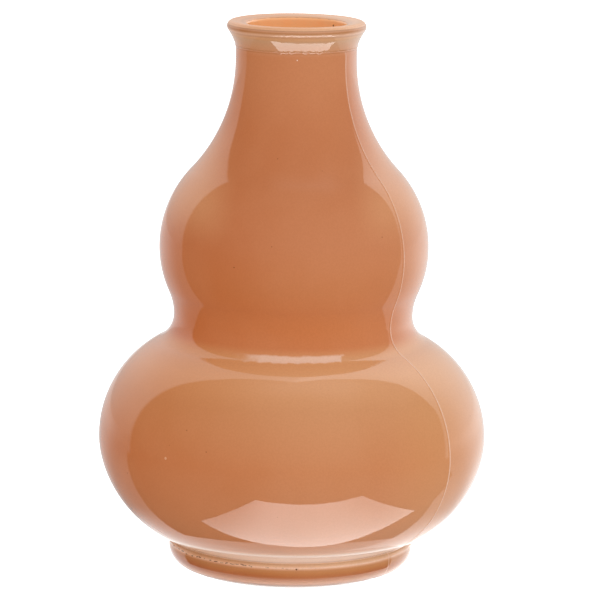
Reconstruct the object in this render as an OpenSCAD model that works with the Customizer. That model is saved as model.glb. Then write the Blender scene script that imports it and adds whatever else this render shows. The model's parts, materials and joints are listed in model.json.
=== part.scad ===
// Double-bulb bud vase: one moulded glass body with a sprayed colour coat over its outside.
// Lengths are in millimetres and angles in degrees. The origin is the centre of the foot,
// on the table, and +Z points up through the mouth.
// Diameters and heights are over the coat; the glass lies one coat thickness inside them.

/* [Foot] */
// Diameter of the foot
foot_d = 79.4; // [70:0.1:96]
// Height of the foot, up to the crease where the bulb starts
foot_h = 9.1; // [8.6:0.1:12]
// Radius that rolls the foot's side under to the bearing ring
foot_roll_r = 6.8; // [4:0.1:7]
// Radius of the foot's top edge
foot_edge_r = 1.0; // [0.5:0.1:1.4]
// Width of the flat ledge between that edge and the crease
foot_ledge_w = 0.1; // [0.1:0.1:2]
// Width of the flat ring that the vase stands on
bearing_w = 2.9; // [2:0.1:5]
// Height of the dome pushed up under the foot
punt_h = 3.0; // [1:0.1:6]

/* [Lower bulb] */
// Widest diameter of the lower bulb
lower_d = 125.5; // [104:0.1:146]
// Height of its widest ring above the table
lower_z = 42.6; // [35:0.1:52]
// Radius of the belly just under the widest ring
belly_r = 28.0; // [20:0.1:34]
// Angle through which that radius runs before the curve to the crease takes over
belly_angle = 13; // [5:0.5:20]
// Share of the curve up to the waist that bulges outwards
lower_fullness = 0.79; // [0.6:0.01:0.85]

/* [Waist] */
// Narrowest diameter between the bulbs
waist_d = 77.4; // [62:0.1:82]
// Rise from the lower bulb's widest ring to the waist
waist_rise = 39.9; // [34:0.1:48]

/* [Upper bulb] */
// Widest diameter of the upper bulb
upper_d = 87.1; // [84:0.1:105]
// Rise from the waist to its widest ring
upper_rise = 22.3; // [18:0.1:27]
// Share of the curve below its widest ring that bulges outwards
upper_low_fullness = 0.65; // [0.5:0.01:0.75]
// Share of the curve up to the neck that bulges outwards
upper_fullness = 0.41; // [0.3:0.01:0.55]

/* [Neck and lip] */
// Rise from the upper bulb's widest ring to the straight neck
neck_rise = 60.7; // [50:0.1:73]
// Length of the straight neck below the collar
neck_straight = 4.3; // [1:0.1:12]
// Height of the flared collar, from the parting line to the top of the lip
collar_h = 8.2; // [6.8:0.1:10]
// Angle at which the collar starts to flare
collar_angle = 4.7; // [0:0.1:10]
// How far the lip stands out past the neck
lip_overhang = 2.85; // [2.4:0.05:3.6]
// Radius of the lip's rounded outer edge
lip_r = 1.9; // [1.2:0.1:2.2]
// Angle at which the top of the lip falls towards the mouth
lip_slope = 10; // [2:0.5:16]
// Diameter of the mouth's straight bore
mouth_d = 32.0; // [26:0.1:40]
// Radius of the edge between the lip and the bore
mouth_edge_r = 1.2; // [0.8:0.1:1.5]

/* [Glass and coat] */
// Thickness of the glass wall
wall_t = 3.3; // [2.4:0.1:4]
// Height of the floor inside, above the table
floor_h = 11.0; // [9:0.1:16]
// Thickness of the colour coat
coat_t = 0.2; // [0.1:0.05:0.4]
// Angle below the horizontal at which the coat stops on the foot's roll
coat_foot_angle = 60; // [20:1:65]
// Angle round the mouth's edge at which the coat stops
coat_mouth_angle = 130; // [110:1:150]

/* [Hidden] */
$fn = 180;
curve_tol = 0.02;

// Radii over the coat, and the depth of the inner wall below it
inner = coat_t + wall_t;
foot_r = foot_d / 2;
crease_r = foot_r - foot_edge_r - foot_ledge_w;
lower_r = lower_d / 2;
waist_r = waist_d / 2;
upper_r = upper_d / 2;
mouth_r = mouth_d / 2;
neck_r = mouth_r + inner;

// Heights of the rings, stacked from the table up
waist_z = lower_z + waist_rise;
upper_z = waist_z + upper_rise;
neck_z = upper_z + neck_rise;
collar_z = neck_z + neck_straight;
top_z = collar_z + collar_h;

// Direction of a surface's outward normal that leans up from the horizontal by the angle a
function normal(a) = [cos(a), sin(a)];

// Angle of the direction from point p to point q
function heading(p, q) = atan2(q.y - p.y, q.x - p.x);

// Points of an arc as its outward normal turns from a0 to a1, moved into the wall by inset.
// A bulging arc has a positive radius r, and a hollow one a negative radius.
function arc(c, r, a0, a1, inset) =
    let (size = abs(r - inset), step = 2 * acos(1 - curve_tol / size))
    let (n = max(1, ceil(abs(a1 - a0) / step)))
    [for (i = [0:n]) c + (r - inset) * normal(a0 + (a1 - a0) * i / n)];

// An outline's points from its far end to its near end
function reversed(points) = [for (i = [len(points) - 1:-1:0]) points[i]];

// Sum of the radii of two tangent arcs that join two rings at which the wall is upright
function radius_sum(dr, dz) = (dr * dr + dz * dz) / (2 * dr);

// Curve from a wide ring up to a narrow one: a bulging arc, then a hollow one tangent to it
function shoulder(r0, z0, r1, z1, fullness, inset) =
    let (sum = radius_sum(r0 - r1, z1 - z0), bulge = fullness * sum, hollow = sum - bulge)
    let (c0 = [r0 + inset - bulge, z0], c1 = [r1 + inset + hollow, z1], turn = heading(c0, c1))
    concat(arc(c0, bulge, 0, turn, inset), arc(c1, -hollow, turn, 0, inset));

// Curve from a narrow ring up to a wide one: the same curve turned upside down
function flare(r0, z0, r1, z1, fullness, inset) =
    reversed([for (p = shoulder(r1, -z1, r0, -z0, fullness, inset)) [p.x, -p.y]]);

// Underside of the lower bulb: the belly's arc turns through belly_angle, and a second arc
// that is tangent to it passes through the crease. It starts at the height start_z.
function underside(start_z, inset) =
    let (belly_c = [lower_r - belly_r, lower_z], n = normal(-belly_angle))
    let (join = belly_c + belly_r * n, run = join - [crease_r, foot_h])
    let (r = run * run / (2 * (n * run)), c = join - r * n)
    let (start = asin(max(-1, (start_z - c.y) / (r - inset))))
    concat(arc(c, r, start, -belly_angle, inset), arc(belly_c, belly_r, -belly_angle, 0, inset));

// Both bulbs, from the height start_z to the neck, whose radius there is neck_end_r
function bulbs(start_z, neck_end_r, inset) = concat(
    underside(start_z, inset),
    shoulder(lower_r - inset, lower_z, waist_r - inset, waist_z, lower_fullness, inset),
    flare(waist_r - inset, waist_z, upper_r - inset, upper_z, upper_low_fullness, inset),
    shoulder(upper_r - inset, upper_z, neck_end_r, neck_z, upper_fullness, inset)
);

// The foot's roll. The glass rolls down to the table, so the roll's centre is one coat
// thickness lower than its radius.
function foot_roll(a0, a1, inset) =
    arc([foot_r - foot_roll_r, foot_roll_r - coat_t], foot_roll_r, a0, a1, inset);

// Collar: a hollow arc that starts at collar_angle and runs tangent into the lip's outer edge
lip_c = [neck_r + lip_overhang - lip_r, top_z - lip_r];
collar_normal = normal(-collar_angle);
collar_run = [neck_r, collar_z] - lip_c;
collar_r = (collar_run * collar_run - lip_r * lip_r) / (2 * (lip_r - collar_normal * collar_run));
collar_c = [neck_r, collar_z] + collar_r * collar_normal;
lip_start = heading(lip_c, collar_c);

// Mouth's edge: it is tangent to the bore and to the lip's top, which falls at lip_slope
lip_end = 90 + lip_slope;
top_normal = normal(lip_end);
mouth_c_r = mouth_r + mouth_edge_r - coat_t;
mouth_c_z = (top_normal * lip_c + lip_r - mouth_edge_r - top_normal.x * mouth_c_r) / top_normal.y;
function mouth_edge(a0, a1, inset) = arc([mouth_c_r, mouth_c_z], mouth_edge_r, a0, a1, inset);

// The outside that the coat covers, from the foot's roll to the mouth's edge
function coated(inset) = concat(
    foot_roll(-coat_foot_angle, 0, inset),
    arc([foot_r - foot_edge_r, foot_h - foot_edge_r], foot_edge_r, 0, 90, inset),
    bulbs(foot_h - inset, neck_r - inset, inset),
    arc(collar_c, -collar_r, -collar_angle, lip_start, inset),
    arc(lip_c, lip_r, lip_start, 0, inset),
    arc(lip_c, lip_r, 0, 90, inset),
    arc(lip_c, lip_r, 90, lip_end, inset),
    mouth_edge(lip_end, coat_mouth_angle, inset)
);

// Dome under the foot, from its centre out to the bearing ring
punt_r = foot_r - foot_roll_r - bearing_w;
punt_curve_r = (punt_r * punt_r + punt_h * punt_h) / (2 * punt_h);
function punt() =
    arc([0, punt_h - punt_curve_r], punt_curve_r, 90, heading([0, punt_h - punt_curve_r], [punt_r, 0]), 0);

// Glass body: foot, both bulbs, neck, collar and lip, moulded in one piece
module glass_body() {
    cavity = bulbs(floor_h, mouth_r, inner);
    color([0.86, 0.90, 0.87, 0.6])
        rotate_extrude()
            polygon(concat(
                punt(),
                foot_roll(-90, -coat_foot_angle, coat_t),
                coated(coat_t),
                mouth_edge(coat_mouth_angle, 180, coat_t),
                reversed(cavity),
                [[0, cavity[0].y]]
            ));
}

// Colour coat: a skin over the outside, from the foot's roll over the lip into the mouth's edge
module colour_coat() {
    color([0.80, 0.53, 0.36])
        rotate_extrude()
            polygon(concat(coated(0), reversed(coated(coat_t))));
}

glass_body();
colour_coat();
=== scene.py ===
"""Looks of a double-bulb bud vase: moulded glass under a sprayed, glossy colour coat.

Every shape is an outline turned about the vase's axis. An outline is a chain of arcs in millimetres,
and azimuths are measured from -Y, where the camera stands, towards +X.
"""

import json
from types import SimpleNamespace

import bpy
import numpy as np
from mathutils import Matrix, Vector


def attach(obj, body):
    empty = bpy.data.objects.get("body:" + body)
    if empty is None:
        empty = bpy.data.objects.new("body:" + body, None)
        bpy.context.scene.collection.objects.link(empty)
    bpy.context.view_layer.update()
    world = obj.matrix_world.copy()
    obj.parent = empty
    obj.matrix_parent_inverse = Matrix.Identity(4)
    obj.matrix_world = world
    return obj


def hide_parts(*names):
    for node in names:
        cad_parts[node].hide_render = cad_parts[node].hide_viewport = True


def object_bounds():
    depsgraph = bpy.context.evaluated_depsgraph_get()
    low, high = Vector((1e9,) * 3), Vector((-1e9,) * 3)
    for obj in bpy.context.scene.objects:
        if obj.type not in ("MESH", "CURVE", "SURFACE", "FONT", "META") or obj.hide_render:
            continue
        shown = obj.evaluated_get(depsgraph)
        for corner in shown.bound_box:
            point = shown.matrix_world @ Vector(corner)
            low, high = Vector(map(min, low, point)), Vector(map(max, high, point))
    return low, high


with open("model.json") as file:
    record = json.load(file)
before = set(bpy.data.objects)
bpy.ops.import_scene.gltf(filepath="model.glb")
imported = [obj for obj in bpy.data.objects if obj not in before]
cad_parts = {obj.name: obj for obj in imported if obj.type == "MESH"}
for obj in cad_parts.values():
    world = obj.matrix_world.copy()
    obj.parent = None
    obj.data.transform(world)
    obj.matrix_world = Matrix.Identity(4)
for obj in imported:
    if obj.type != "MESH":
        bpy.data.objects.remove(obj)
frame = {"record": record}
cad_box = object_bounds()

MM = 0.001


# ---------------------------------------------------------------------------------------------
# Sizes in millimetres and angles in degrees, measured over the coat
# ---------------------------------------------------------------------------------------------
mouth_mount = next(m for m in frame["record"]["mounts"] if m["name"] == "mouth")
LOWER_R = cad_box[1][0] / MM
TOP_Z = cad_box[1][2] / MM
MOUTH_R = mouth_mount["dims"]["r_mm"]

COAT_T = 0.2
WALL_T = 3.3
INNER = COAT_T + WALL_T
FLOOR_H = 11.0

FOOT_R = 39.7
FOOT_H = 9.1
FOOT_ROLL_R = 6.8
FOOT_EDGE_R = 1.0
CREASE_R = 38.6
CREASE_COVE_R = 0.3
BEARING_W = 2.9
PUNT_H = 3.0

LOWER_Z = 42.6
BELLY_R = 28.0
BELLY_ANGLE = 13.0
WAIST_R, WAIST_Z = 38.7, 82.5
UPPER_R, UPPER_Z = 43.55, 104.8
NECK_R = MOUTH_R + INNER
NECK_Z = 165.5
LOWER_FULLNESS, UPPER_LOW_FULLNESS, UPPER_FULLNESS = 0.79, 0.65, 0.41

# The collar flares from the neck at this angle, out of a small fillet
COLLAR_Z = 169.8
COLLAR_ANGLE = 16.0
COLLAR_FILLET_R = 1.2
LIP_OVERHANG, LIP_R, LIP_SLOPE = 2.85, 1.9, 10.0
MOUTH_EDGE_R = 1.2
COAT_FOOT_ANGLE, COAT_MOUTH_ANGLE = 60.0, 130.0

# The mould's two halves meet in seams at this angle from -Y towards +X, and opposite
SEAM_ANGLE = 53.0
SEAM_H, SEAM_W = 0.13, 0.26
SWELL_H, SWELL_W = 0.05, 2.4
# Beads where the neck ring and the bottom plate of the mould met its halves
COLLAR_BEAD_H, COLLAR_BEAD_W = 0.14, 0.24
PLATE_BEAD_H, PLATE_BEAD_W = 0.07, 0.22
# Faint rings that fire polishing left round the lip
LIP_RING_H, LIP_RING_PITCH = 0.018, 0.7

# Distances between rows of points on the bulbs: on the coat, on the glass under it, and inside
COAT_STEP, UNDER_STEP, INSIDE_STEP = 1.8, 2.4, 2.0
# Distances of the columns of points beside each seam, the number of further columns in each half
# turn of the coat, and the number in the glass's whole turn
NEAR_SEAM = np.array([0, 0.1, 0.2, 0.3, 0.45, 0.75, 1.3])
COAT_COLUMNS, GLASS_COLUMNS = 122, 240


# ---------------------------------------------------------------------------------------------
# Outlines: arrays of rows by columns, each point as (radius from the axis, height, angle of the
# outward normal above the horizontal in degrees)
# ---------------------------------------------------------------------------------------------
def normal(angle):
    """Direction (radial, up) of an outward normal at an angle in degrees above the horizontal."""
    angle = np.radians(angle)
    return np.stack([np.cos(angle), np.sin(angle)], axis=-1)


def heading(start, end):
    """Angle in degrees of the direction from one point to another."""
    return float(np.degrees(np.arctan2(end[1] - start[1], end[0] - start[0])))


def arc(centre, radius, start, end, step):
    """Rows of an arc whose outward normal turns from start to end: centre + radius * normal. The
    radius is negative where the wall is hollow. An end may be an array, one angle a column."""
    start, end = np.broadcast_arrays(np.atleast_1d(start), np.atleast_1d(end))
    turn = np.radians(np.abs(end - start).max())
    share = np.linspace(0, 1, int(turn * abs(radius) / step) + 3)[:, None]
    angle = start + (end - start) * share
    return np.dstack([np.asarray(centre) + radius * normal(angle), angle])


def line(start, end, angle, step):
    """Rows of a straight run with one outward normal: start + share * (end - start)."""
    start, end = np.asarray(start, float), np.asarray(end, float)
    share = np.linspace(0, 1, int(np.hypot(*(end - start)) / step) + 2)[:, None, None]
    points = start + share * (end - start)
    return np.dstack([points, np.full(points.shape[:2], float(angle))])


def chain(parts, columns):
    """Runs joined into one outline, without the points that two runs share."""
    parts = [np.broadcast_to(p, (len(p), columns, 3)) for p in parts]
    return np.concatenate([p[:-1] for p in parts[:-1]] + [parts[-1]])


def inset(outline, depth):
    """The outline moved into the wall along its normals: p - depth * normal."""
    moved = outline.copy()
    moved[..., :2] -= np.asarray(depth)[..., None] * normal(outline[..., 2])
    return moved


def shoulder(r0, z0, r1, z1, fullness, step):
    """A wide ring joined to a narrow one above it by a bulging arc and a hollow one tangent to it.
    The two radii add up to (dr^2 + dz^2) / 2 dr, and fullness is the bulging one's share."""
    radii = ((r0 - r1) ** 2 + (z1 - z0) ** 2) / (2 * (r0 - r1))
    bulge = fullness * radii
    hollow = radii - bulge
    low, high = (r0 - bulge, z0), (r1 + hollow, z1)
    turn = heading(low, high)
    return [arc(low, bulge, 0, turn, step), arc(high, -hollow, turn, 0, step)]


def flare(r0, z0, r1, z1, fullness, step):
    """A narrow ring joined to a wide one above it: a shoulder turned upside down."""
    upside_down = shoulder(r1, -z1, r0, -z0, fullness, step)
    return [part[::-1] * (1, -1, -1) for part in reversed(upside_down)]


def bulbs(step):
    """Both bulbs from the lower one's widest ring to the straight neck."""
    return [
        *shoulder(LOWER_R, LOWER_Z, WAIST_R, WAIST_Z, LOWER_FULLNESS, step),
        *flare(WAIST_R, WAIST_Z, UPPER_R, UPPER_Z, UPPER_LOW_FULLNESS, step),
        *shoulder(UPPER_R, UPPER_Z, NECK_R, NECK_Z, UPPER_FULLNESS, step),
    ]


def crossing(c0, r0, c1, r1):
    """Outer crossing of two circles: along the line of centres by a = (d^2 + r0^2 - r1^2) / 2d,
    then square to it by the root of r0^2 - a^2."""
    c0, c1 = np.array(c0), np.array(c1)
    d = np.hypot(*(c1 - c0))
    a = (d * d + r0 * r0 - r1 * r1) / (2 * d)
    along = (c1 - c0) / d
    across = np.sqrt(r0 * r0 - a * a) * np.array([-along[1], along[0]])
    return max((c0 + a * along + across, c0 + a * along - across), key=lambda p: p[0])


def under_bulb():
    """Centres and radius of the arcs under the lower bulb. The belly's arc turns through the
    belly's angle, and a second arc that is tangent to it passes through the crease."""
    belly = np.array([LOWER_R - BELLY_R, LOWER_Z])
    n = normal(-BELLY_ANGLE)
    join = belly + BELLY_R * n
    run = join - np.array([CREASE_R, FOOT_H])
    radius = run @ run / (2 * (n @ run))
    return belly, join - radius * n, radius


def foot_and_belly(start, step):
    """From the foot's roll, over its rounded top edge and through the filleted crease, up to the
    lower bulb's widest ring."""
    belly, under, under_r = under_bulb()
    roll = (FOOT_R - FOOT_ROLL_R, FOOT_ROLL_R - COAT_T)
    edge = (FOOT_R - FOOT_EDGE_R, FOOT_H - FOOT_EDGE_R)
    cove = crossing(edge, FOOT_EDGE_R + CREASE_COVE_R, under, under_r + CREASE_COVE_R)
    into_cove, out_of_cove = heading(edge, cove), heading(under, cove)
    return [
        arc(roll, FOOT_ROLL_R, start, 0, step=0.4),
        line((FOOT_R, roll[1]), (FOOT_R, edge[1]), 0, step=0.12),
        arc(edge, FOOT_EDGE_R, 0, into_cove, step=0.12),
        arc(cove, -CREASE_COVE_R, into_cove, out_of_cove, step=0.08),
        arc(under, under_r, out_of_cove, -BELLY_ANGLE, step),
        arc(belly, BELLY_R, -BELLY_ANGLE, 0, step),
    ]


def collar_and_lip(end):
    """From the straight neck, with a small fillet where the neck ring's parting line runs, up the
    collar's hollow flare and over the lip into the mouth's edge. The flare passes through the
    parting line at the collar's angle and is tangent to the lip."""
    lip = np.array([NECK_R + LIP_OVERHANG - LIP_R, TOP_Z - LIP_R])
    parting, n = np.array([NECK_R, COLLAR_Z]), normal(-COLLAR_ANGLE)
    run = parting - lip
    radius = (run @ run - LIP_R ** 2) / (2 * (LIP_R - n @ run))
    centre = parting + radius * n
    into_lip, over_lip = heading(lip, centre), 90 + LIP_SLOPE
    cut = COLLAR_FILLET_R * np.tan(np.radians(COLLAR_ANGLE / 2))
    fillet = parting + (COLLAR_FILLET_R, -cut)
    top = normal(over_lip)
    edge_r = MOUTH_R + MOUTH_EDGE_R - COAT_T
    edge_z = (top @ lip + LIP_R - MOUTH_EDGE_R - top[0] * edge_r) / top[1]
    edge = np.array([edge_r, edge_z])
    bead_start = COLLAR_Z - cut - 0.5
    return [
        line((NECK_R, NECK_Z), (NECK_R, bead_start), 0, step=1.0),
        line((NECK_R, bead_start), (NECK_R, COLLAR_Z - cut), 0, step=0.12),
        arc(fillet, -COLLAR_FILLET_R, 0, -COLLAR_ANGLE, step=0.1),
        arc(centre, -radius, -COLLAR_ANGLE - np.degrees(cut / radius), into_lip, step=0.25),
        arc(lip, LIP_R, into_lip, over_lip, step=0.12),
        line(lip + LIP_R * top, edge + MOUTH_EDGE_R * top, over_lip, step=0.2),
        arc(edge, MOUTH_EDGE_R, over_lip, end, step=0.16),
    ]


# ---------------------------------------------------------------------------------------------
# Small departures from the turned shape
# ---------------------------------------------------------------------------------------------
def smooth(value, low, high):
    """0 below low, 1 above high, and t^2 (3 - 2t) between them."""
    t = np.clip((value - low) / (high - low), 0, 1)
    return t * t * (3 - 2 * t)


def hump(distance, width):
    """A rounded ridge, exp(-(distance / width)^2)."""
    return np.exp(-(distance / width) ** 2)


def waves(azimuth, along, orders, rate, count, seed):
    """Sum of sine waves, scaled to lie mostly within -1 and 1. Their whole orders round the axis lie
    between the two given ones, and their rates up the wall reach the given one in radians a mm."""
    rng = np.random.default_rng(seed)
    total = np.zeros(np.broadcast(azimuth, along).shape)
    for _ in range(count):
        order, phase = rng.integers(*orders), rng.uniform(0, 2 * np.pi)
        total += np.sin(order * azimuth + rng.uniform(-rate, rate) * along + phase)
    return total / (1.6 * np.sqrt(count))


def from_seam(azimuth, radius):
    """Distance in mm round the wall to the nearer of the two mould seams."""
    turn = (azimuth - np.radians(SEAM_ANGLE) + np.pi / 2) % np.pi - np.pi / 2
    return turn * radius


def relief(along, azimuth, radius, ends):
    """Height in mm of the real surface over the turned one. It adds the seams, which are narrow
    crests on broad low swells, the beads of the neck ring and the bottom plate, the wall's waviness
    and the lip's rings, and feathers the coat out at its two ends."""
    crease, collar = ends["crease"], ends["collar"]
    off = from_seam(azimuth, radius)
    on_wall = smooth(along, crease + 0.5, crease + 4)
    on_wall = on_wall * (1 - smooth(along, collar - 2, collar - 0.3))
    seam = SEAM_H * hump(off, SEAM_W) + SWELL_H * hump(off, SWELL_W)
    seam *= on_wall * (0.85 + 0.15 * waves(azimuth, along, (0, 2), rate=0.9, count=5, seed=3))
    wobble = 0.05 * waves(azimuth, 0, (4, 60), rate=0, count=12, seed=5)
    bead = COLLAR_BEAD_H * hump(along - collar - wobble, COLLAR_BEAD_W)
    ragged = 0.16 * waves(azimuth, 0, (20, 150), rate=0, count=16, seed=7)
    plate = hump(along - ends["plate"] - ragged, PLATE_BEAD_W)
    plate *= PLATE_BEAD_H * (0.6 + 0.4 * waves(azimuth, 0, (3, 90), rate=0, count=14, seed=8))
    wavy = 0.022 * (waves(azimuth, along, (2, 9), rate=0.16, count=10, seed=11) - 1)
    wavy += 0.012 * (waves(azimuth, along, (8, 24), rate=0.35, count=12, seed=12) - 1)
    on_lip = smooth(along, collar + 5.5, collar + 6.5)
    on_lip = on_lip * (1 - smooth(along, collar + 10.0, collar + 11.0))
    ripple = np.sin(2 * np.pi * along / LIP_RING_PITCH + 0.4 * np.sin(2 * azimuth))
    rings = LIP_RING_H * on_lip * (ripple - 1)
    feather = smooth(along, ends["start"], ends["start"] + 1.4)
    feather = feather * (1 - smooth(along, ends["end"] - 0.8, ends["end"]))
    return seam + bead + plate + rings + wavy * on_wall - 0.85 * COAT_T * (1 - feather)


def slopes(along, azimuth, radius, ends):
    """Slopes of the relief up the wall and round it, from its heights 0.02 mm to either side."""
    reach = 0.02
    turn = reach / radius
    up = relief(along + reach, azimuth, radius, ends) - relief(along - reach, azimuth, radius, ends)
    side = relief(along, azimuth + turn, radius, ends) - relief(along, azimuth - turn, radius, ends)
    return up / (2 * reach), side / (2 * reach)


def azimuths(radius):
    """Azimuth in radians of every point of the coat's grid. Beside each seam the columns keep fixed
    distances in mm, and the others split the rest of each half turn evenly."""
    side = NEAR_SEAM / radius[:, None]
    share = np.linspace(0, 1, COAT_COLUMNS + 2)[1:-1]
    rest = side[:, -1:] + (np.pi - 2 * side[:, -1:]) * share
    half = np.hstack([side, rest, np.pi - side[:, :0:-1]])
    return np.radians(SEAM_ANGLE) + np.hstack([half, half + np.pi])


# ---------------------------------------------------------------------------------------------
# Meshes
# ---------------------------------------------------------------------------------------------
def turned(outline, azimuth):
    """Positions (r sin az, -r cos az, z) of an outline's points, in mm."""
    r, z = outline[..., 0], outline[..., 1]
    return np.stack([r * np.sin(azimuth), -r * np.cos(azimuth), z], axis=-1)


def turned_vectors(radial, up, around, azimuth):
    """Vectors given by their radial, upward and azimuthal parts, scaled to unit length."""
    x = radial * np.sin(azimuth) + around * np.cos(azimuth)
    y = -radial * np.cos(azimuth) + around * np.sin(azimuth)
    vectors = np.stack([x, y, up], axis=-1)
    return vectors / np.linalg.norm(vectors, axis=-1, keepdims=True)


def grid_faces(rows, columns, closed):
    """Quads of a grid that wraps round in its columns, and in its rows too if it is closed."""
    i = np.arange(rows if closed else rows - 1)[:, None]
    j = np.arange(columns)[None, :]
    up, on = (i + 1) % rows, (j + 1) % columns
    quads = np.stack([i * columns + j, i * columns + on, up * columns + on, up * columns + j], axis=-1)
    return quads.reshape(-1, 4)


def make_object(name, points, normals, faces, triangles=()):
    """A mesh object from arrays of points in mm, their normals, quads and any triangles."""
    mesh = bpy.data.meshes.new(name)
    corners = np.concatenate([np.ravel(faces), np.ravel(triangles)]).astype(np.int32)
    sizes = np.concatenate([np.full(len(faces), 4), np.full(len(triangles), 3)]).astype(np.int32)
    mesh.vertices.add(len(points))
    mesh.loops.add(len(corners))
    mesh.polygons.add(len(sizes))
    mesh.vertices.foreach_set("co", (points * MM).astype(np.float32).ravel())
    mesh.loops.foreach_set("vertex_index", corners)
    mesh.polygons.foreach_set("loop_start", np.concatenate([[0], np.cumsum(sizes)[:-1]]).astype(np.int32))
    mesh.update(calc_edges=True)
    mesh.validate()
    mesh.polygons.foreach_set("use_smooth", np.ones(len(sizes), bool))
    mesh.normals_split_custom_set_from_vertices(normals.astype(np.float32))
    item = bpy.data.objects.new(name, mesh)
    bpy.context.scene.collection.objects.link(item)
    return item


def coat_outline(columns):
    """The coat's outline, from a ragged end on the foot's roll to another in the mouth's edge."""
    even = np.linspace(0, 2 * np.pi, columns, endpoint=False) + np.radians(SEAM_ANGLE)
    start = -COAT_FOOT_ANGLE + 3.5 * waves(even, 0, (5, 70), rate=0, count=14, seed=21)
    end = COAT_MOUTH_ANGLE + 5 * waves(even, 0, (4, 60), rate=0, count=12, seed=22)
    return chain([*foot_and_belly(start, COAT_STEP), *bulbs(COAT_STEP), *collar_and_lip(end)], columns)


def landmarks(outline, along):
    """Distances in mm along the outline of its two ends, of the foot's crease, and of the beads
    that the bottom plate and the neck ring left."""
    middle, height = along[:, 0], outline[:, 0, 1]
    low = height < LOWER_Z
    return {
        "start": along[:1],
        "end": along[-1:],
        "crease": np.interp(FOOT_H + 0.3, height[low], middle[low]),
        "plate": np.interp(FOOT_H - 1.05, height[low], middle[low]),
        "collar": middle[np.argmax(height >= COLLAR_Z)],
    }


def inner_rows(middle):
    """Rows that the coat's inner face needs, from its end to its start: every other one on the
    bulbs, and every fourth where they lie less than 0.6 mm apart."""
    index = np.arange(len(middle))
    spacing = np.diff(middle, prepend=0)
    every = np.where(spacing < 0.6, 4, 2)
    return index[(index % every == 0) | (index == index[-1])][::-1]


def colour_coat():
    """The sprayed film over the outside: its outer face with the relief, and its inner face on the
    glass. It ends in a ragged line on the foot's roll and another in the mouth's edge."""
    columns = 2 * (COAT_COLUMNS + 2 * len(NEAR_SEAM) - 1)
    outline = coat_outline(columns)
    steps = np.linalg.norm(np.diff(outline[..., :2], axis=0), axis=-1)
    along = np.vstack([np.zeros(columns), np.cumsum(steps, axis=0)])
    azimuth = azimuths(outline[:, 0, 0])
    surface = (along, azimuth, outline[:, :1, 0], landmarks(outline, along))
    rise, side = slopes(*surface)
    n, t = normal(outline[..., 2]), normal(outline[..., 2] + 90)
    lean = n - t * rise[..., None]
    outer = turned(inset(outline, -relief(*surface)), azimuth)
    outer_normals = turned_vectors(lean[..., 0], lean[..., 1], -side, azimuth)

    keep = inner_rows(along[:, 0])
    n, azimuth = n[keep], azimuth[keep]
    inner = turned(inset(outline, COAT_T)[keep], azimuth)
    inner_normals = turned_vectors(-n[..., 0], -n[..., 1], 0 * azimuth, azimuth)
    points = np.concatenate([outer, inner])
    normals = np.concatenate([outer_normals, inner_normals])
    faces = grid_faces(len(points), columns, closed=True)
    return make_object("Vase_Colour_Coat", points.reshape(-1, 3), normals.reshape(-1, 3), faces)


def glass_body():
    """The moulded glass: dome under the foot, bearing ring, outside under the coat, mouth's edge,
    bore, inner wall one wall's thickness in, and floor. Fans close it on the axis."""
    columns = GLASS_COLUMNS
    ring = FOOT_R - FOOT_ROLL_R
    punt_r = ring - BEARING_W
    dome_r = (punt_r ** 2 + PUNT_H ** 2) / (2 * PUNT_H)
    centre = (0, PUNT_H - dome_r)
    dome = arc(centre, -dome_r, -90, heading(centre, (punt_r, 0)) - 180, step=1.5)
    bearing = line((punt_r, 0), (ring, 0), -90, step=0.6)
    outside = [*foot_and_belly(-90, UNDER_STEP), *bulbs(UNDER_STEP), *collar_and_lip(180)]
    outside = inset(chain(outside, 1), COAT_T)
    # The inner wall's normals are turned round. It stops a little over the floor, and a short slope
    # joins the two.
    wall = [*foot_and_belly(-90, INSIDE_STEP)[-2:], *bulbs(INSIDE_STEP)]
    wall = inset(chain(wall, 1), INNER)[::-1] + (0, 0, 180)
    wall = wall[wall[:, 0, 1] > FLOOR_H + 0.5]
    inside_floor = line((wall[-1, 0, 0] - 1.0, FLOOR_H), (0, FLOOR_H), 90, step=1.5)
    outline = np.concatenate([dome[:-1], bearing, outside[1:], wall, inside_floor])
    outline = np.broadcast_to(outline, (len(outline), columns, 3))
    azimuth = np.broadcast_to(np.linspace(0, 2 * np.pi, columns, endpoint=False), outline.shape[:2])
    n = normal(outline[..., 2])
    points = turned(outline, azimuth)[1:-1].reshape(-1, 3)
    normals = turned_vectors(n[..., 0], n[..., 1], 0 * azimuth, azimuth)[1:-1].reshape(-1, 3)
    rows, count = len(outline) - 2, len(points)
    points = np.vstack([points, (0, 0, PUNT_H), (0, 0, FLOOR_H)])
    normals = np.vstack([normals, (0, 0, -1), (0, 0, 1)])
    j = np.arange(columns)
    on = (j + 1) % columns
    last = count - columns
    fans = np.vstack([
        np.stack([np.full(columns, count), on, j], axis=-1),
        np.stack([np.full(columns, count + 1), last + j, last + on], axis=-1),
    ])
    return make_object("Vase_Glass_Body", points, normals, grid_faces(rows, columns, closed=False), fans)


# ---------------------------------------------------------------------------------------------
# Materials
# ---------------------------------------------------------------------------------------------
def linear(colour):
    """Linear colour of an sRGB hex one: c / 12.92 up to 0.04045, else ((c + 0.055) / 1.055)^2.4."""
    c = np.array([int(colour[i:i + 2], 16) for i in (1, 3, 5)]) / 255
    c = np.where(c <= 0.04045, c / 12.92, ((c + 0.055) / 1.055) ** 2.4)
    return (*c.tolist(), 1.0)


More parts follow.
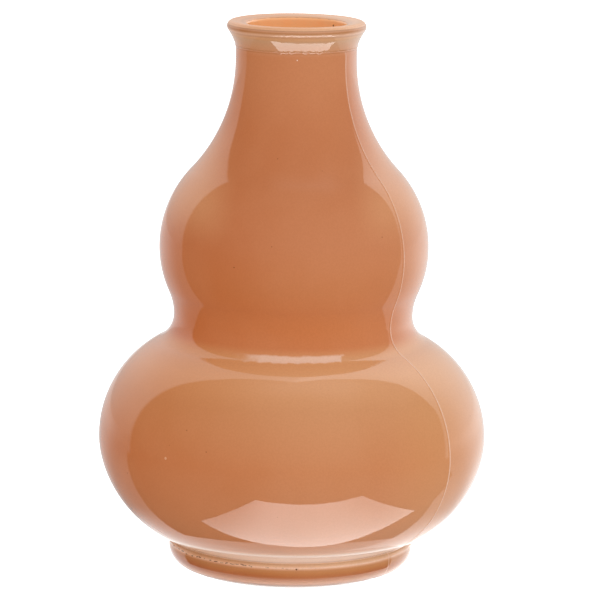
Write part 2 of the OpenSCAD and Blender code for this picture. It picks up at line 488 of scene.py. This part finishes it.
def add(tree, kind, *values, named=None, stops=(), **settings):
    """Adds a node, sets its properties and any ramp's stops, and fills its inputs in order, then
    any named ones. A value that is a node or one of its outputs becomes a link."""
    node = tree.nodes.new("ShaderNode" + kind)
    for name, value in settings.items():
        setattr(node, name, value)
    for index, (position, colour) in enumerate(stops):
        elements = node.color_ramp.elements
        item = elements[index] if index < 2 else elements.new(position)
        item.position, item.color = position, linear(colour)
    shown = [socket for socket in node.inputs if socket.enabled]
    by_name = [(node.inputs[name], value) for name, value in (named or {}).items()]
    for socket, value in [*zip(shown, values), *by_name]:
        if isinstance(value, bpy.types.Node):
            value = next(output for output in value.outputs if output.enabled)
        if isinstance(value, bpy.types.NodeSocket):
            tree.links.new(value, socket)
        else:
            socket.default_value = value
    return node


# What the nodes are told most often
TIMES = {"operation": "MULTIPLY"}
LESS = {"operation": "SUBTRACT"}
SOFT_STEP = {"interpolation_type": "SMOOTHSTEP"}
MIX = {"data_type": "RGBA"}


def new_material(name):
    """A node material and its empty tree."""
    material = bpy.data.materials.new(name)
    material.use_nodes = True
    material.node_tree.nodes.clear()
    return material, material.node_tree


def coordinates(tree):
    """Where a point of the surface is: in metres, in millimetres, and the latter's X, Y and Z."""
    place = add(tree, "TexCoord").outputs["Object"]
    in_mm = add(tree, "VectorMath", place, named={"Scale": 1 / MM}, operation="SCALE")
    across, forward, height = add(tree, "SeparateXYZ", in_mm).outputs
    return SimpleNamespace(place=place, in_mm=in_mm, across=across, forward=forward, height=height)


def by_height(stops, low, high):
    """A ramp's stops, as shares of a range of height, from pairs of height in mm and colour."""
    return [((height - low) / (high - low), colour) for height, colour in stops]


# Heights in mm that each ramp of colours spans
FOOT_SPAN, WALL_SPAN, LIP_SPAN = (0.0, 18.0), (0.0, 200.0), (168.0, 179.0)
# Colours of the coat on the foot, much of them painted light and shade: its roll, darker at the
# bottom as painted contact shade, with a painted highlight line; its side; its light top edge, a
# painted highlight; the dark line at the crease, painted shade; and the pale thin band above it,
# painted light
FOOT_COLOURS_WITH_PAINTED_LIGHT = [
    (0, "#8a6a58"), (1.2, "#9c765e"), (2.3, "#e4b69c"), (3.0, "#d29e7e"), (3.9, "#bc7c54"),
    (4.9, "#b87246"), (5.9, "#be7e4c"), (6.9, "#c48a5c"), (7.3, "#d8a27c"), (7.8, "#f0ccb2"),
    (8.3, "#e6ba98"), (8.8, "#dcb28c"), (9.1, "#dab08c"), (9.5, "#f0d8c8"), (10.3, "#f6e4d8"),
    (12.2, "#f4e4d8"), (13.5, "#e4ccb8"), (14.3, "#cf9c78"), (15.0, "#c48c64"), (18.0, "#c4865c"),
]
# Colours of the coat on both bulbs and the neck, lighter on the lower bulb's upward-facing shoulder
# as painted light, and deeper at the waist as painted shade in the hollow
COAT_COLOURS_WITH_PAINTED_LIGHT = [
    (0, "#c4865c"), (16, "#c4865c"), (22, "#c4875f"), (31, "#c6845a"), (44, "#ca8254"), (62, "#d09062"),
    (70, "#dc9f70"), (75.5, "#dc9c6a"), (78.5, "#cf7c4a"), (84, "#cd7a46"), (97, "#c57848"),
    (112, "#c4794e"), (150, "#c4794d"), (169, "#c67e52"),
]
# Colours of the neck ring and the lip, in bands of painted highlight and painted shade: light and
# dark lines round the neck ring's bead and across the lip's front, up to a pale top edge
LIP_COLOURS_WITH_PAINTED_LIGHT = [
    (168.0, "#c67e52"), (169.1, "#c8845a"), (169.4, "#b57448"), (169.7, "#d0906a"), (170.0, "#b77d53"),
    (170.4, "#c98f68"), (173.3, "#c69a76"), (173.6, "#c8986e"), (174.2, "#d29e72"), (174.7, "#c2906a"),
    (175.3, "#dcae90"), (175.8, "#c08a62"), (176.1, "#b07648"), (176.6, "#ce9672"), (176.9, "#ba8866"),
    (177.2, "#ecb890"), (177.5, "#dca47a"), (177.7, "#eeb488"), (178.0, "#eab080"),
]
# Colours of the glass, from the dome under the foot up to the lip: darker at the bottom as painted
# contact shade, and a bright honey up the bore and mouth that is partly painted light, standing in
# for light let through the coat
GLASS_COLOURS_WITH_PAINTED_LIGHT = [
    (0, "#a08468"), (2, "#c9b096"), (6, "#d8a878"), (120, "#f0a860"), (160, "#ffc488"),
    (172, "#ffc486"), (175, "#ffba80"), (177, "#ffbe88"), (178, "#f2b88a"),
]


# Marks in the coat, each a point on it with the radius and width of a ring in mm: a light nick
# under the collar, a crater's rim on the lower bulb, and nibs of dust
COAT_MARKS = [
    ((0.3, -19.5, 167.5), 0.0, 0.24, "#f4dcc8"), ((-39.5, -48.7, 45.2), 0.28, 0.2, "#dca680"),
    ((2.0, -39.6, 7.5), 0.0, 0.35, "#5e2f18"), ((-18.7, -39.3, 104.5), 0.0, 0.25, "#6e3a1c"),
]
# A dark fleck on the rim of the glass
GLASS_MARKS = [((11.8, 10.8, 175.2), 0.0, 0.4, "#3c2414")]


def marked(tree, in_mm, colour, marks):
    """The colour with marks on it, each seen where | distance to its point - radius | < width."""
    for point, radius, width, shade in marks:
        away = add(tree, "VectorMath", in_mm, point, operation="DISTANCE").outputs["Value"]
        away = add(tree, "Math", add(tree, "Math", away, radius, **LESS), operation="ABSOLUTE")
        share = add(tree, "MapRange", away, 0.6 * width, width, 0.9, 0.0, **SOFT_STEP)
        colour = add(tree, "Mix", share, colour, linear(shade), **MIX)
    return colour


def sprayed_colour(tree, at):
    """The coat's colour by height, with its own ramps for the foot and for the lip. The ramps also paint
    light and shade on the foot, the waist and the lip.
    """
    share = add(tree, "Math", at.height, WALL_SPAN[1], operation="DIVIDE")
    colour = add(tree, "ValToRGB", share, stops=by_height(COAT_COLOURS_WITH_PAINTED_LIGHT, *WALL_SPAN))
    share = add(tree, "MapRange", at.height, *FOOT_SPAN)
    on_foot = add(tree, "ValToRGB", share, stops=by_height(FOOT_COLOURS_WITH_PAINTED_LIGHT, *FOOT_SPAN))
    below = add(tree, "MapRange", at.height, 16.5, 17.5, 1.0, 0.0, **SOFT_STEP)
    colour = add(tree, "Mix", below, colour, on_foot, **MIX)
    share = add(tree, "MapRange", at.height, *LIP_SPAN)
    on_lip = add(tree, "ValToRGB", share, stops=by_height(LIP_COLOURS_WITH_PAINTED_LIGHT, *LIP_SPAN))
    above = add(tree, "MapRange", at.height, 168.2, 168.6, **SOFT_STEP)
    return add(tree, "Mix", above, colour, on_lip, **MIX)


def painted_side_light_and_cloud(tree, at, colour):
    """The colour, deeper on the -X side as painted shade, lighter and browner on the +X side and paler
    on the flanks of the upper shoulder as painted light, and clouded a little all over."""
    # Painted shade on the -X side, then painted light on the +X side and on the upper shoulder's flanks
    side = add(tree, "MapRange", at.across, -55.0, 20.0, 1.0, 0.0, **SOFT_STEP)
    colour = add(tree, "Mix", side, colour, linear("#f3dcc6"), blend_type="MULTIPLY", **MIX)
    lean = add(tree, "MapRange", at.across, 26.0, 48.0, 0.0, 0.3, **SOFT_STEP)
    colour = add(tree, "Mix", lean, colour, linear("#d89c62"), **MIX)
    flank = add(tree, "Math", at.across, operation="ABSOLUTE")
    flank = add(tree, "MapRange", flank, 17.0, 30.0, **SOFT_STEP)
    over = add(tree, "MapRange", at.height, 108.0, 124.0, **SOFT_STEP)
    under = add(tree, "MapRange", at.height, 140.0, 165.0, 0.4, 0.1, **SOFT_STEP)
    flank = add(tree, "Math", add(tree, "Math", flank, over, **TIMES), under, **TIMES)
    colour = add(tree, "Mix", flank, colour, linear("#e2a878"), **MIX)
    cloud = add(tree, "TexNoise", at.place, 1 / (34 * MM), 3.0)
    cloud = add(tree, "MapRange", cloud, 0.35, 0.65, 0.0, 0.10, **SOFT_STEP)
    return add(tree, "Mix", cloud, colour, linear("#e0a47c"), **MIX)


def painted_light_strip(tree, at, colour):
    """The colour with a painted highlight: a pale ragged strip of painted light in the tight hollow at
    the front of the waist. The strip's share is the product of a soft step at each of its limits."""
    ragged = add(tree, "TexNoise", at.place, 1 / (3 * MM), 3.0)
    ragged = add(tree, "MapRange", ragged, 0.3, 0.7, -1.6, 1.6)
    end = add(tree, "Math", at.across, ragged)
    rim = add(tree, "Math", at.height, add(tree, "Math", ragged, 0.12, **TIMES))
    limits = [
        add(tree, "MapRange", rim, 76.3, 77.0, 1.0, 0.0, **SOFT_STEP),
        add(tree, "MapRange", end, -19.0, -9.0, **SOFT_STEP),
        add(tree, "MapRange", end, 15.0, 16.5, 1.0, 0.0, **SOFT_STEP),
        add(tree, "MapRange", at.forward, -30.0, -20.0, 1.0, 0.0, **SOFT_STEP),
    ]
    # The strip's pale colour is painted light, only on the front of the waist
    strip_light = add(tree, "MapRange", rim, 74.6, 75.0, 0.0, 0.8, **SOFT_STEP)
    for limit in limits:
        strip_light = add(tree, "Math", strip_light, limit, **TIMES)
    return add(tree, "Mix", strip_light, colour, linear("#efc4ac"), **MIX)


def seam_crests(tree, at, colour):
    """The colour, paler on the crests of the mould seams, and more so on the lower bulb."""
    turn = np.radians(SEAM_ANGLE)
    plane = (float(np.cos(turn)), float(np.sin(turn)), 0.0)
    off_seam = add(tree, "VectorMath", at.in_mm, plane, operation="DOT_PRODUCT")
    off_seam = add(tree, "Math", off_seam.outputs["Value"], operation="ABSOLUTE")
    crest = add(tree, "MapRange", off_seam, 0.08, 0.4, 1.0, 0.0, **SOFT_STEP)
    crest = add(tree, "Math", crest, add(tree, "MapRange", at.height, 80.0, 90.0, 0.5, 0.25), **TIMES)
    below_ring = add(tree, "MapRange", at.height, COLLAR_Z - 1.0, COLLAR_Z, 1.0, 0.0, **SOFT_STEP)
    crest = add(tree, "Math", crest, below_ring, **TIMES)
    return add(tree, "Mix", crest, colour, linear("#efc9b2"), **MIX)


def grain_and_dust(tree, at, colour):
    """The colour with overspray grain, drawn at 0.6 mm, coarser than the real mist of about
    0.05 mm, and with specks of dust up to 0.3 mm wide, one in about 9 mm."""
    grain = add(tree, "TexNoise", at.place, 1 / (0.6 * MM), 1.0)
    grain = add(tree, "MapRange", grain, 0.3, 0.7, 0.0, 0.06, **SOFT_STEP)
    colour = add(tree, "Mix", grain, colour, linear("#8e4a22"), **MIX)
    speck = add(tree, "TexVoronoi", at.place, 1 / (9 * MM))
    speck = add(tree, "MapRange", speck, 0.018, 0.03, 0.5, 0.0, **SOFT_STEP)
    return add(tree, "Mix", speck, colour, linear("#6e3a1c"), **MIX)


def foot_pits(tree, at, colour):
    """The colour with bare and dirty pits along a ragged line on the foot's top edge, clustered on
    the -X side."""
    ragged = add(tree, "TexNoise", at.place, 1 / (5 * MM), 3.0)
    ragged = add(tree, "MapRange", ragged, 0.0, 1.0, -1.1, 1.1)
    off_edge = add(tree, "Math", add(tree, "Math", at.height, 7.75, **LESS), ragged, **LESS)
    off_edge = add(tree, "Math", off_edge, operation="ABSOLUTE")
    pits = add(tree, "MapRange", off_edge, 0.08, 0.22, 1.0, 0.0, **SOFT_STEP)
    flat = add(tree, "Mapping", at.place, named={"Scale": (1.0, 1.0, 0.35)})
    broken = add(tree, "TexNoise", flat, 1 / (1.3 * MM), 2.0)
    broken = add(tree, "MapRange", broken, 0.5, 0.56, **SOFT_STEP)
    cluster = add(tree, "MapRange", at.across, -30.0, 12.0, 0.9, 0.05, **SOFT_STEP)
    pits = add(tree, "Math", add(tree, "Math", pits, broken, **TIMES), cluster, **TIMES)
    return add(tree, "Mix", pits, colour, linear("#5e2f18"), **MIX)


def coat_material():
    """Glossy sprayed lacquer over glass. The eye gets a sharp clear-coat reflection over an orange
    that is deeper at the waist and on the -X side, painted shade. Spray from the sides reaches
    reaches the lip's top only as dust, so it is duller there."""
    material, tree = new_material("Sprayed_gloss_lacquer")
    at = coordinates(tree)
    colour = sprayed_colour(tree, at)
    # The first two layers paint light and shade into the colour: shade and light by side, and a pale
    # strip of light at the waist.
    for layer in (painted_side_light_and_cloud, painted_light_strip, seam_crests, grain_and_dust, foot_pits):
        colour = layer(tree, at, colour)
    colour = marked(tree, at.in_mm, colour, COAT_MARKS)
    fine = add(tree, "Math", add(tree, "TexNoise", at.place, 1 / (1.6 * MM), 2.0), 0.12, **TIMES)
    skin = add(tree, "Math", fine, add(tree, "TexNoise", at.place, 1 / (7 * MM), 1.0))
    bump = add(tree, "Bump", named={"Strength": 0.25, "Distance": 0.06 * MM, "Height": skin})
    dull = add(tree, "MapRange", at.height, 175.0, 177.0, 0.03, 0.28, **SOFT_STEP)
    look = {"Base Color": colour, "Normal": bump, "Roughness": dull, "IOR": 1.5}
    add(tree, "OutputMaterial", add(tree, "BsdfPrincipled", named=look))
    return material


def glass_material():
    """Moulded glass with the coat's colour behind it. The eye gets a bright honey inside wall, partly
    painted light, with a faint painted glow standing in for light let through the coat, faint flow
    streaks and a clean fire-polished gloss."""
    material, tree = new_material("Moulded_glass")
    at = coordinates(tree)
    share = add(tree, "Math", at.height, WALL_SPAN[1], operation="DIVIDE")
    colour = add(tree, "ValToRGB", share, stops=by_height(GLASS_COLOURS_WITH_PAINTED_LIGHT, *WALL_SPAN))
    stretched = add(tree, "Mapping", at.place, named={"Scale": (1.0, 1.0, 0.2)})
    streak = add(tree, "TexNoise", stretched, 1 / (4 * MM), 2.0)
    streak = add(tree, "MapRange", streak, 0.35, 0.65, 0.0, 0.15, **SOFT_STEP)
    colour = add(tree, "Mix", streak, colour, linear("#f4cf9e"), **MIX)
    colour = marked(tree, at.in_mm, colour, GLASS_MARKS)
    skin = add(tree, "TexNoise", at.place, 1 / (5 * MM), 1.0)
    bump = add(tree, "Bump", named={"Strength": 0.3, "Distance": 0.1 * MM, "Height": skin})
    # The emission is a painted glow: light let through the coat, drawn as a glow of the glass itself
    look = {
        "Base Color": colour, "Normal": bump, "Roughness": 0.04, "IOR": 1.52,
        "Emission Color": linear("#f0a868"), "Emission Strength": 0.045,
    }
    add(tree, "OutputMaterial", add(tree, "BsdfPrincipled", named=look))
    return material


# ---------------------------------------------------------------------------------------------
# Studio: soft white light all round, and the softboxes that the gloss shows, placed by direction
# ---------------------------------------------------------------------------------------------
# Where the white walls begin, in degrees from -Y towards +X
RIGHT_WALL, LEFT_WALL = 101.5, -110.5
WHITE = (1.0, 1.0, 1.0, 1.0)


def bearings(tree, x, y):
    """Azimuth in degrees of a direction or a place, and how far it lies towards -Y."""
    forward = add(tree, "Math", y, -1.0, **TIMES)
    azimuth = add(tree, "Math", x, forward, operation="ARCTAN2")
    return add(tree, "Math", azimuth, operation="DEGREES"), forward


def lit_walls(tree, azimuth, elevation):
    """White walls behind the vase on both sides. The right one's edge leans with its height."""
    leaning = add(tree, "MapRange", elevation, 0.0, 60.0, 0.0, 13.0, **SOFT_STEP)
    leaning = add(tree, "Math", azimuth, leaning, **LESS)
    right = add(tree, "MapRange", leaning, RIGHT_WALL - 0.4, RIGHT_WALL + 0.4, **SOFT_STEP)
    near = add(tree, "MapRange", azimuth, 100.0, 128.0, 1.1, 1.55, **SOFT_STEP)
    far = add(tree, "MapRange", azimuth, 128.0, 184.0, 1.0, 0.5, **SOFT_STEP)
    high = add(tree, "MapRange", elevation, 5.0, 45.0, 1.0, 1.35, **SOFT_STEP)
    for part in (near, far, high):
        right = add(tree, "Math", right, part, **TIMES)
    left = add(tree, "MapRange", azimuth, LEFT_WALL - 2, LEFT_WALL + 2, 1.0, 0.0, **SOFT_STEP)
    rise = add(tree, "MapRange", elevation, -8.0, 28.0, 0.62, 1.25, **SOFT_STEP)
    left = add(tree, "Math", left, rise, **TIMES)
    walls = add(tree, "Math", right, left, operation="MAXIMUM")
    above_floor = add(tree, "MapRange", elevation, -12.0, -8.0, **SOFT_STEP)
    return add(tree, "Math", walls, above_floor, **TIMES)


def top_softbox(tree, x, z, forward):
    """A dim softbox overhead, between two angles in degrees from the front and two sides."""
    over = add(tree, "Math", add(tree, "Math", z, forward, operation="ARCTAN2"), operation="DEGREES")
    top = add(tree, "MapRange", over, 66.0, 84.0, 0.0, 0.4, **SOFT_STEP)
    limits = [
        add(tree, "MapRange", over, 92.0, 104.0, 1.0, 0.0, **SOFT_STEP),
        add(tree, "MapRange", x, -0.45, 0.0, **SOFT_STEP),
        add(tree, "MapRange", x, 0.3, 0.58, 1.0, 0.0, **SOFT_STEP),
    ]
    for limit in limits:
        top = add(tree, "Math", top, limit, **TIMES)
    return top


def studio_world():
    """The camera sees white, matt surfaces get an even white light, and the gloss sees the studio:
    a dim room in front, white walls behind from both sides, and a softbox overhead."""
    world = bpy.data.worlds.new("Studio")
    bpy.context.scene.world = world
    world.use_nodes = True
    tree = world.node_tree
    tree.nodes.clear()
    x, y, z = add(tree, "SeparateXYZ", add(tree, "TexCoord").outputs["Generated"]).outputs
    azimuth, forward = bearings(tree, x, y)
    elevation = add(tree, "Math", add(tree, "Math", z, operation="ARCSINE"), operation="DEGREES")
    room = add(tree, "MapRange", azimuth, -110.0, 30.0, 0.06, 0.3, **SOFT_STEP)
    glow = add(tree, "Math", room, lit_walls(tree, azimuth, elevation), operation="MAXIMUM")
    glow = add(tree, "Math", glow, top_softbox(tree, x, z, forward))

    seen = add(tree, "LightPath").outputs
    gloss = add(tree, "Background", WHITE, glow)
    soft = add(tree, "Background", WHITE, 0.87)
    plain = add(tree, "Background", WHITE, 1.0)
    lit = add(tree, "MixShader", seen["Is Glossy Ray"], soft, gloss)
    add(tree, "OutputWorld", add(tree, "MixShader", seen["Is Camera Ray"], lit, plain))


def stage_mesh(name, points, faces):
    """A stage mesh from its points in mm."""
    mesh = bpy.data.meshes.new(name)
    mesh.from_pydata([Vector(p) * MM for p in points], [], faces)
    item = bpy.data.objects.new(name, mesh)
    bpy.context.scene.collection.objects.link(item)
    return item


def lit_card(name, points, faces, outer, inner=None, farthest=9.0):
    """A card that only the gloss shows, with a brightness for its front and one for its back, which
    is clear if it has none. It lights only what is within a distance in metres."""
    item = stage_mesh(name, points, faces)
    material, tree = new_material(name)
    back = add(tree, "NewGeometry").outputs["Backfacing"]
    reach = add(tree, "LightPath").outputs["Ray Length"]
    within = add(tree, "Math", reach, farthest, operation="LESS_THAN")
    if inner is None:
        within = add(tree, "Math", within, add(tree, "Math", 1.0, back, **LESS), **TIMES)
    strength = add(tree, "MapRange", back, 0.0, 1.0, outer, inner or 0.0)
    light = add(tree, "Emission", WHITE, strength)
    add(tree, "OutputMaterial", add(tree, "MixShader", within, add(tree, "BsdfTransparent"), light))
    item.data.materials.append(material)
    for ray in ("camera", "diffuse", "shadow", "transmission"):
        setattr(item, "visible_" + ray, False)
    return tree, light


def round_axis(radius, degrees, height):
    """Points at a radius from the axis, at azimuths in degrees and at one height."""
    turns = np.radians(degrees)
    return [(radius * np.sin(a), -radius * np.cos(a), height) for a in turns]


def white_sheet():
    """The white sheet under and behind the vase. It is brightest close to the foot, brighter on the
    +X side than on the other, and a little brighter far off, where it meets the lit walls."""
    edge = [
        (-2000, 708), (-67, -15), (-47, -24), (-35, -31), (-25, -37), (-15, -40), (0, -41.5), (13, -40),
        (23, -36.5), (33, -32), (45, -27.5), (61, -24), (82, -21), (105, -10), (130, 8), (168, 10),
        (229, 17), (401, 42), (1084, 200), (2000, 400), (2000, 3000), (-2000, 3000),
    ]
    tree, light = lit_card("White_sheet", [(x, y, 0.2) for x, y in edge], [range(len(edge))], 1.45, 1.45)
    place = add(tree, "TexCoord").outputs["Object"]
    x, y, _ = add(tree, "SeparateXYZ", place).outputs
    azimuth, _ = bearings(tree, x, y)
    turn = add(tree, "Math", azimuth, operation="ABSOLUTE")
    right = add(tree, "MapRange", turn, 100.0, 128.0, 1.0, 1.4, **SOFT_STEP)
    behind = add(tree, "MapRange", turn, 128.0, 184.0, 1.0, 0.46, **SOFT_STEP)
    right = add(tree, "Math", right, behind, **TIMES)
    left = add(tree, "MapRange", turn, 110.0, 138.0, 0.45, 0.74, **SOFT_STEP)
    glow = add(tree, "Mix", add(tree, "MapRange", x, -0.05, 0.03, **SOFT_STEP), left, right)
    reach = add(tree, "VectorMath", place, operation="LENGTH").outputs["Value"]
    far_off = add(tree, "MapRange", reach, 0.2, 0.6, 1.0, 1.22, **SOFT_STEP)
    by_foot = add(tree, "MapRange", reach, 0.042, 0.075, 0.9, 0.0, **SOFT_STEP)
    glow = add(tree, "Math", add(tree, "Math", glow, far_off, **TIMES), by_foot)
    tree.links.new(glow.outputs[0], light.inputs["Strength"])


def front_card():
    """A bright card on the table in front of the vase, dimmer towards both of its ends."""
    edge = [
        (-44, -49), (-27, -95), (57, -88), (60, -68), (66, -35), (55, -40), (38, -44), (14, -46.5),
        (-6, -48.5),
    ]
    shape = [(x, y, 0.4) for x, y in edge]
    tree, light = lit_card("Front_card", shape, [range(len(edge))], 4.8, 4.8, farthest=0.06)
    x = add(tree, "SeparateXYZ", add(tree, "TexCoord").outputs["Object"]).outputs[0]
    glow = add(tree, "MapRange", x, -0.044, -0.008, 2.2, 4.8, **SOFT_STEP)
    right_end = add(tree, "MapRange", x, 0.02, 0.06, 1.0, 0.7, **SOFT_STEP)
    glow = add(tree, "Math", glow, right_end, **TIMES)
    tree.links.new(glow.outputs[0], light.inputs["Strength"])


def neck_card():
    """A small card held level in front of the neck, whose near edge follows the neck round."""
    edge = [
        (-29, -27), (-28, -36), (-29, -64), (-2, -76), (30, -66), (60, -47), (43, -22), (44, -13),
        (33, -27.5), (17, -36), (0, -39), (-16, -35.5),
    ]
    lit_card("Neck_card", [(x, y, 140) for x, y in edge], [range(len(edge))], 5.2, farthest=0.07)


def table_strip():
    """A curved strip of lit table between the foot and the front card."""
    turns = np.linspace(-75, 75, 31)
    points = round_axis(30, turns, 0.1) + round_axis(50, turns[::-1], 0.1)
    lit_card("Table_strip", points, [range(len(points))], 1.3, 1.3)


def foot_flag():
    """A low curved flag round the front of the foot, bright outside, that shades the foot's side."""
    turns = np.linspace(-64, 60, 32)
    points = round_axis(42.3, turns, 0.3) + round_axis(42.3, turns, 7.5)
    count = len(turns)
    faces = [(i, i + 1, i + 1 + count, i + count) for i in range(count - 1)]
    lit_card("Foot_flag", points, faces, 1.35, 0.15)


def floor():
    """Pale paper floor, which the gloss doesn't show. It is clear from below, so that the foot's
    underside can be looked at."""
    half, below = 4000, -0.05
    corners = [(-half, -half, below), (half, -half, below), (half, half, below), (-half, half, below)]
    item = stage_mesh("Floor", corners, [(0, 1, 2, 3)])
    material, tree = new_material("White_paper")
    seen = add(tree, "LightPath").outputs["Is Camera Ray"]
    look = {
        "Base Color": linear("#f6f6f6"), "Roughness": 0.9, "Emission Color": WHITE,
        "Emission Strength": add(tree, "MapRange", seen, 0.0, 1.0, 0.18, 0.9),
    }
    paper = add(tree, "BsdfPrincipled", named=look)
    back = add(tree, "NewGeometry").outputs["Backfacing"]
    add(tree, "OutputMaterial", add(tree, "MixShader", back, paper, add(tree, "BsdfTransparent")))
    item.data.materials.append(material)
    item.visible_glossy = False


def key_light():
    """A soft disk in front, high on the +X side, which the gloss doesn't show."""
    key = bpy.data.lights.new("Key", "AREA")
    key.shape = "DISK"
    key.size = 0.9
    key.energy = 3.8
    lamp = bpy.data.objects.new("Key", key)
    lamp.location = (0.9, -1.3, 0.9)
    lamp.rotation_euler = (Vector((0, 0, 0.08)) - lamp.location).to_track_quat("-Z", "Y").to_euler()
    lamp.visible_glossy = False
    bpy.context.scene.collection.objects.link(lamp)


def camera():
    """Long lens a little above the vase, looking 10.5 degrees down and rolled by 0.7 degrees."""
    down, turn, roll = 0.18387, 0.00171, 0.0126
    ahead = Vector((np.sin(turn) * np.cos(down), np.cos(turn) * np.cos(down), -np.sin(down)))
    right = Vector((np.cos(turn), -np.sin(turn), 0))
    up = right.cross(ahead)
    level = Matrix((right, up, -ahead)).transposed()
    data = bpy.data.cameras.new("Camera")
    data.lens = 236.4
    data.sensor_width = 36.0
    data.clip_start = 0.05
    data.clip_end = 50.0
    item = bpy.data.objects.new("Camera", data)
    place = Matrix.Translation((0, -1.2532, 0.3202))
    item.matrix_world = place @ level.to_4x4() @ Matrix.Rotation(roll, 4, "Z")
    bpy.context.scene.collection.objects.link(item)
    bpy.context.scene.camera = item


coat = colour_coat()
coat.data.materials.append(coat_material())
glass = glass_body()
glass.data.materials.append(glass_material())
for piece, node, slot in ((coat, "colour_coat", "coat"), (glass, "glass_body", "glass")):
    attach(piece, "root")
    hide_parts(node)

studio_world()
floor()
white_sheet()
front_card()
neck_card()
table_strip()
foot_flag()
key_light()
camera()
bpy.context.scene.view_settings.view_transform = "Standard"
